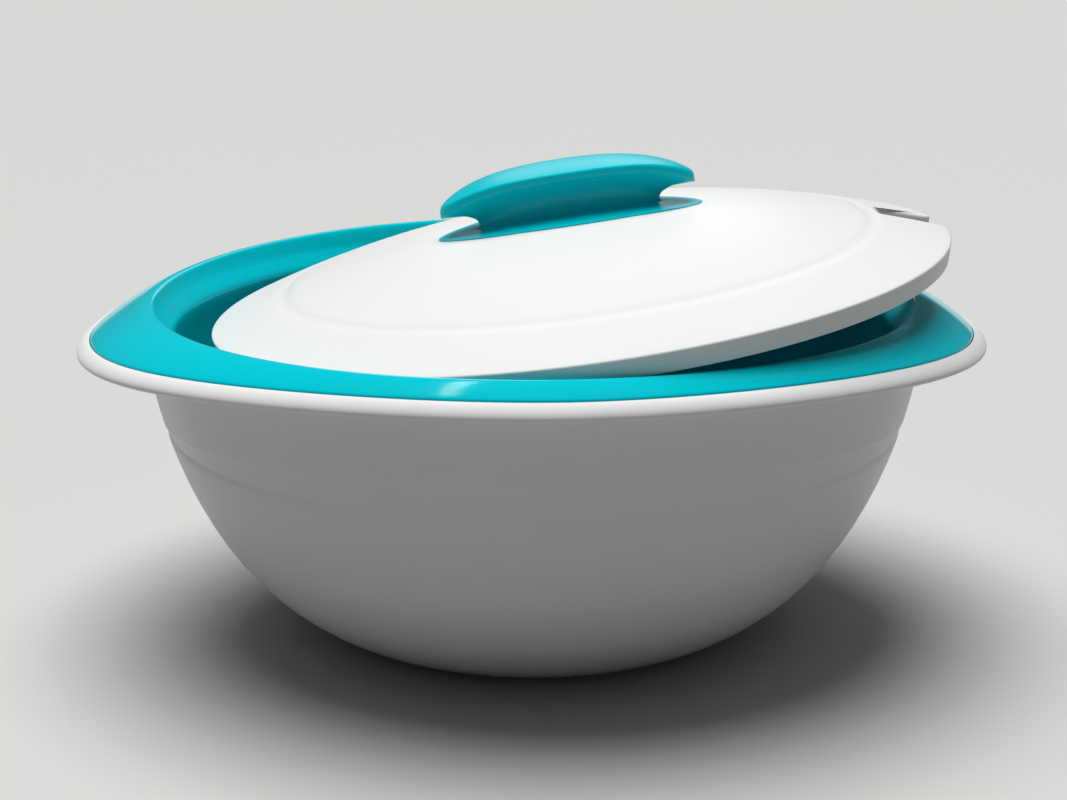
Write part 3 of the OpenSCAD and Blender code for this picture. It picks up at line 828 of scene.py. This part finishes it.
bpy.ops.object.select_all(action="DESELECT")
bpy.ops.mesh.primitive_plane_add(size=16, location=(0, 0, 0))
floor = bpy.context.object
floor.name = "studio_floor"
floor_finish = bpy.data.materials.new("pale_matte_floor")
floor_finish.use_nodes = True
floor_tree = floor_finish.node_tree
floor_tree.nodes.clear()
ray = add_node(floor_tree, "ShaderNodeLightPath", {})
bounce = add_node(
    floor_tree,
    "ShaderNodeMix",
    {
        MIX_SHARE: ray.outputs["Is Diffuse Ray"],
        MIX_FIRST: linear("#C9C9C7"),
        MIX_SECOND: linear("#9A9C9B"),
    },
    data_type="RGBA",
)
floor_shader = add_node(
    floor_tree,
    "ShaderNodeBsdfPrincipled",
    {"Base Color": bounce.outputs[MIXED], "Roughness": 0.9, "Specular IOR Level": 0.1},
)
add_node(floor_tree, "ShaderNodeOutputMaterial", {"Surface": floor_shader.outputs["BSDF"]})
floor.data.materials.append(floor_finish)


# Light. One very wide soft lamp overhead, a little to the left and behind the bowl, and a weak even
# fill from all round. Two small lamps only show as reflections: the sheen on the handle and a glint
# on the near flange.

bpy.ops.object.light_add(type="SUN", location=(0, 0, 2))
key = bpy.context.object
key.name = "soft_overhead_lamp"
key.data.energy = 3.6
key.data.angle = math.radians(50)
key.rotation_euler = Vector((-0.08, 0.12, 1)).to_track_quat("Z", "Y").to_euler()
key.visible_glossy = False

# Low soft panel behind, which only shows as the sheen on the handle
bpy.ops.object.light_add(type="AREA", location=(0.1, 1.1, 0.6))
back = bpy.context.object
back.name = "low_back_panel"
back.data.shape = "RECTANGLE"
back.data.size, back.data.size_y = 0.45, 0.5
back.data.energy = 0.85
handle_spot = Vector((0, 0, 0.14))
back.rotation_euler = (handle_spot - back.location).to_track_quat("-Z", "Y").to_euler()
back.visible_diffuse = False

# Narrow window overhead, mirrored as one crisp glint on the near flange
bpy.ops.object.light_add(type="AREA", location=(-0.15, 0.33, 1.11))
window = bpy.context.object
window.name = "narrow_window"
window.data.shape = "RECTANGLE"
window.data.size, window.data.size_y = 0.045, 0.6
window.data.energy = 0.9
window.rotation_euler = (0, 0, math.radians(-14))
window.visible_diffuse = False

world = bpy.data.worlds.new("even_fill")
bpy.context.scene.world = world
world.use_nodes = True
fill = world.node_tree.nodes["Background"]
fill.inputs["Color"].default_value = linear("#E6E8EA")
fill.inputs["Strength"].default_value = 0.1


# Camera. At the photograph's height and distance, a little to the left of the bowl's front, with
# its yaw, pitch and distance as fitted to the outlines of the rim, the body and the lid.

camera_data = bpy.data.cameras.new("photo_camera")
camera = bpy.data.objects.new("photo_camera", camera_data)
bpy.context.scene.collection.objects.link(camera)
bpy.context.scene.camera = camera
camera_data.sensor_width = 36
camera_data.lens = 76.4
camera_data.clip_start = 0.05
camera_data.clip_end = 60
yaw, pitch, distance = math.radians(4.42), math.radians(14.93), 0.761
aim = Vector((0, 0, 0.0754))
camera.location = aim + distance * Vector(
    (-math.cos(pitch) * math.sin(yaw), -math.cos(pitch) * math.cos(yaw), math.sin(pitch))
)
camera.rotation_euler = (aim - camera.location).to_track_quat("-Z", "Y").to_euler()

bpy.context.scene.view_settings.view_transform = "Standard"
